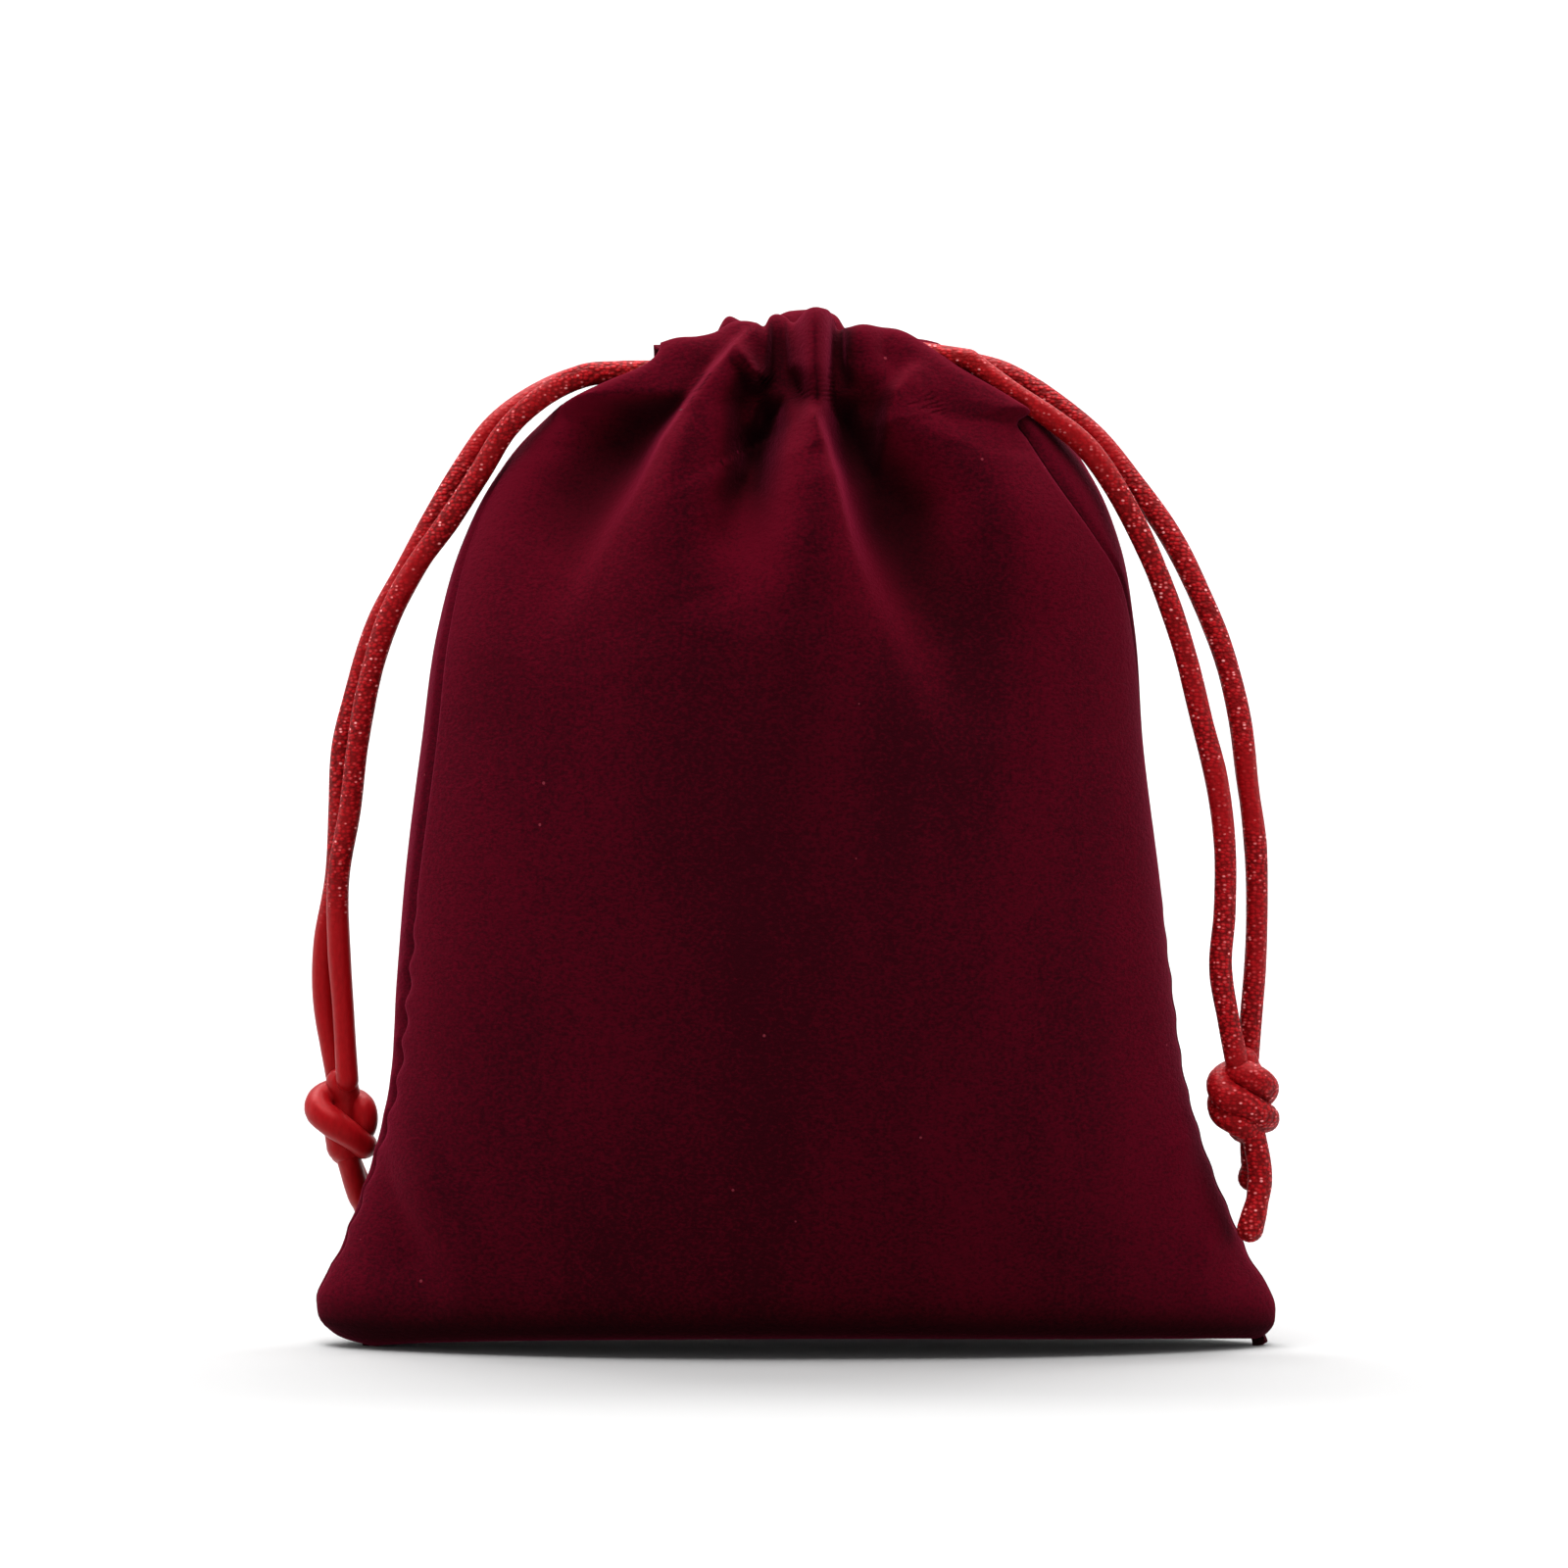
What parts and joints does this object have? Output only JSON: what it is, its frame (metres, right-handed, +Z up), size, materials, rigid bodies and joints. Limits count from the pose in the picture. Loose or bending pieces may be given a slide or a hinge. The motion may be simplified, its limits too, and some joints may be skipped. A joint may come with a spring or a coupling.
{
  "type": "drawstring gift pouch",
  "caption": "Velvet drawstring gift pouch, standing full and drawn closed, with two knotted cords that hang down its sides.",
  "frame": {"origin": "middle of the flat base, on the surface that the pouch stands on", "axes": "+Z up to the mouth, +X along the bottom seam towards the right side seam as seen from the front, +Y from the front panel to the back panel"},
  "size_m": [0.1214, 0.052, 0.13],
  "materials": {
    "velvet": "deep burgundy short-pile velvet",
    "thread": "burgundy sewing thread",
    "cord": "bright red satin cord with fine metallic flecks"
  },
  "bodies": {
    "pouch": {"front_panel": "velvet", "back_panel": "velvet", "left_side_seam_thread": "thread", "right_side_seam_thread": "thread", "bottom_seam_thread": "thread", "left_bar_tack": "thread", "right_bar_tack": "thread", "left_cord_crossover": "cord", "right_cord_crossover": "cord"},
    "front_lip": {"front_casing": "velvet", "front_casing_stitching": "thread", "left_cord_front_run": "cord", "right_cord_front_run": "cord"},
    "back_lip": {"back_casing": "velvet", "back_casing_stitching": "thread", "left_cord_back_run": "cord", "right_cord_back_run": "cord"},
    "left_lead": {"left_front_lead": "cord", "left_back_lead": "cord"},
    "right_lead": {"right_front_lead": "cord", "right_back_lead": "cord"},
    "left_cord": {"left_front_strand": "cord", "left_back_strand": "cord", "left_knot": "cord", "left_front_tail": "cord", "left_back_tail": "cord"},
    "right_cord": {"right_front_strand": "cord", "right_back_strand": "cord", "right_knot": "cord", "right_front_tail": "cord", "right_back_tail": "cord"}
  },
  "joints": [
    {"name": "front_lip_open", "type": "hinge", "parent": "pouch", "child": "front_lip", "pos_m": [0, -0.013, 0.1178], "axis": [1, 0, 0], "range_deg": [0, 15]},
    {"name": "back_lip_open", "type": "hinge", "parent": "pouch", "child": "back_lip", "pos_m": [0, 0.013, 0.1178], "axis": [-1, 0, 0], "range_deg": [0, 15]},
    {"name": "left_cord_pull", "type": "slide", "parent": "pouch", "child": "left_lead", "axis": [-1, 0, 0], "range_m": [0, 0.008]},
    {"name": "right_cord_pull", "type": "slide", "parent": "pouch", "child": "right_lead", "axis": [1, 0, 0], "range_m": [0, 0.008]},
    {"name": "left_cord_swing", "type": "hinge", "parent": "left_lead", "child": "left_cord", "pos_m": [-0.0212, 0, 0.1214], "axis": [0, 1, 0], "range_deg": [0, 70]},
    {"name": "right_cord_swing", "type": "hinge", "parent": "right_lead", "child": "right_cord", "pos_m": [0.0212, 0, 0.12462], "axis": [0, -1, 0], "range_deg": [0, 70]}
  ]
}
